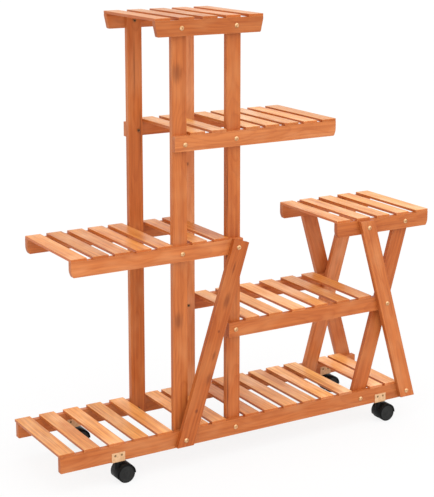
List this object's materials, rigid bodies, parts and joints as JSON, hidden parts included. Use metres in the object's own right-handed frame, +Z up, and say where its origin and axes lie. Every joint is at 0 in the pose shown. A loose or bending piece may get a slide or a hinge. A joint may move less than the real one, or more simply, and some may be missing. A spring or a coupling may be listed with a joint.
{
  "type": "rolling plant stand",
  "caption": "Stained fir plant stand with slatted shelves at five heights on posts and crossed legs, rolling on hooded twin-wheel swivel casters.",
  "frame": {"origin": "on the floor under the middle of the stand", "axes": "+X along the stand towards the stool with the crossed legs, +Y from the front to the back, +Z up"},
  "size_m": [1.199, 0.3324, 1.2285],
  "materials": {
    "frame_wood": "orange-brown stained fir, satin varnish",
    "slat_wood": "orange-brown stained fir, satin varnish",
    "bracket": "zinc plated sheet with a pale yellow passivation",
    "hood": "black moulded nylon",
    "wheel": "black moulded nylon",
    "steel": "bright steel pin",
    "bolt": "zinc plated steel"
  },
  "bodies": {
    "frame": {"back_base_rail": "frame_wood", "back_inner_leg": "frame_wood", "back_left_caster_bracket": "bracket", "back_left_post": "frame_wood", "back_left_shelf_rail": "frame_wood", "back_middle_shelf_rail": "frame_wood", "back_outer_leg": "frame_wood", "back_right_caster_bracket": "bracket", "back_right_post": "frame_wood", "back_stool_rail": "frame_wood", "back_top_shelf_rail": "frame_wood", "back_upper_shelf_rail": "frame_wood", "base_centre_slats": "slat_wood", "base_end_slats": "slat_wood", "base_left_slats": "slat_wood", "base_right_slats": "slat_wood", "caster_stems": "steel", "frame_bolts": "bolt", "front_base_rail": "frame_wood", "front_brace": "frame_wood", "front_inner_leg": "frame_wood", "front_left_caster_bracket": "bracket", "front_left_post": "frame_wood", "front_left_shelf_rail": "frame_wood", "front_middle_shelf_rail": "frame_wood", "front_outer_leg": "frame_wood", "front_right_caster_bracket": "bracket", "front_right_post": "frame_wood", "front_stool_rail": "frame_wood", "front_top_shelf_rail": "frame_wood", "front_upper_shelf_rail": "frame_wood", "left_shelf_centre_slats": "slat_wood", "left_shelf_slats": "slat_wood", "middle_shelf_slats": "slat_wood", "stool_slats": "slat_wood", "top_shelf_slats": "slat_wood", "upper_shelf_centre_slats": "slat_wood", "upper_shelf_slats": "slat_wood"},
    "front_left_swivel": {"front_left_caster_axle": "steel", "front_left_caster_hood": "hood"},
    "front_left_outer_wheel": {"front_left_caster_outer_wheel": "wheel"},
    "front_left_inner_wheel": {"front_left_caster_inner_wheel": "wheel"},
    "front_right_swivel": {"front_right_caster_axle": "steel", "front_right_caster_hood": "hood"},
    "front_right_outer_wheel": {"front_right_caster_outer_wheel": "wheel"},
    "front_right_inner_wheel": {"front_right_caster_inner_wheel": "wheel"},
    "back_left_swivel": {"back_left_caster_axle": "steel", "back_left_caster_hood": "hood"},
    "back_left_outer_wheel": {"back_left_caster_outer_wheel": "wheel"},
    "back_left_inner_wheel": {"back_left_caster_inner_wheel": "wheel"},
    "back_right_swivel": {"back_right_caster_axle": "steel", "back_right_caster_hood": "hood"},
    "back_right_outer_wheel": {"back_right_caster_outer_wheel": "wheel"},
    "back_right_inner_wheel": {"back_right_caster_inner_wheel": "wheel"}
  },
  "joints": [
    {"name": "front_left_swivel_turn", "type": "hinge", "parent": "frame", "child": "front_left_swivel", "pos_m": [-0.4285, -0.1405, 0.0475], "axis": [0, 0, 1], "continuous": true},
    {"name": "front_left_outer_wheel_spin", "type": "hinge", "parent": "front_left_swivel", "child": "front_left_outer_wheel", "pos_m": [-0.4105, -0.1405, 0.025], "axis": [0, 1, 0], "continuous": true},
    {"name": "front_left_inner_wheel_spin", "type": "hinge", "parent": "front_left_swivel", "child": "front_left_inner_wheel", "pos_m": [-0.4105, -0.1405, 0.025], "axis": [0, 1, 0], "continuous": true},
    {"name": "front_right_swivel_turn", "type": "hinge", "parent": "frame", "child": "front_right_swivel", "pos_m": [0.4385, -0.1405, 0.0475], "axis": [0, 0, 1], "continuous": true},
    {"name": "front_right_outer_wheel_spin", "type": "hinge", "parent": "front_right_swivel", "child": "front_right_outer_wheel", "pos_m": [0.4565, -0.1405, 0.025], "axis": [0, 1, 0], "continuous": true},
    {"name": "front_right_inner_wheel_spin", "type": "hinge", "parent": "front_right_swivel", "child": "front_right_inner_wheel", "pos_m": [0.4565, -0.1405, 0.025], "axis": [0, 1, 0], "continuous": true},
    {"name": "back_left_swivel_turn", "type": "hinge", "parent": "frame", "child": "back_left_swivel", "pos_m": [-0.4285, 0.1405, 0.0475], "axis": [0, 0, 1], "continuous": true},
    {"name": "back_left_outer_wheel_spin", "type": "hinge", "parent": "back_left_swivel", "child": "back_left_outer_wheel", "pos_m": [-0.4105, 0.1405, 0.025], "axis": [0, 1, 0], "continuous": true},
    {"name": "back_left_inner_wheel_spin", "type": "hinge", "parent": "back_left_swivel", "child": "back_left_inner_wheel", "pos_m": [-0.4105, 0.1405, 0.025], "axis": [0, 1, 0], "continuous": true},
    {"name": "back_right_swivel_turn", "type": "hinge", "parent": "frame", "child": "back_right_swivel", "pos_m": [0.4385, 0.1405, 0.0475], "axis": [0, 0, 1], "continuous": true},
    {"name": "back_right_outer_wheel_spin", "type": "hinge", "parent": "back_right_swivel", "child": "back_right_outer_wheel", "pos_m": [0.4565, 0.1405, 0.025], "axis": [0, 1, 0], "continuous": true},
    {"name": "back_right_inner_wheel_spin", "type": "hinge", "parent": "back_right_swivel", "child": "back_right_inner_wheel", "pos_m": [0.4565, 0.1405, 0.025], "axis": [0, 1, 0], "continuous": true}
  ]
}
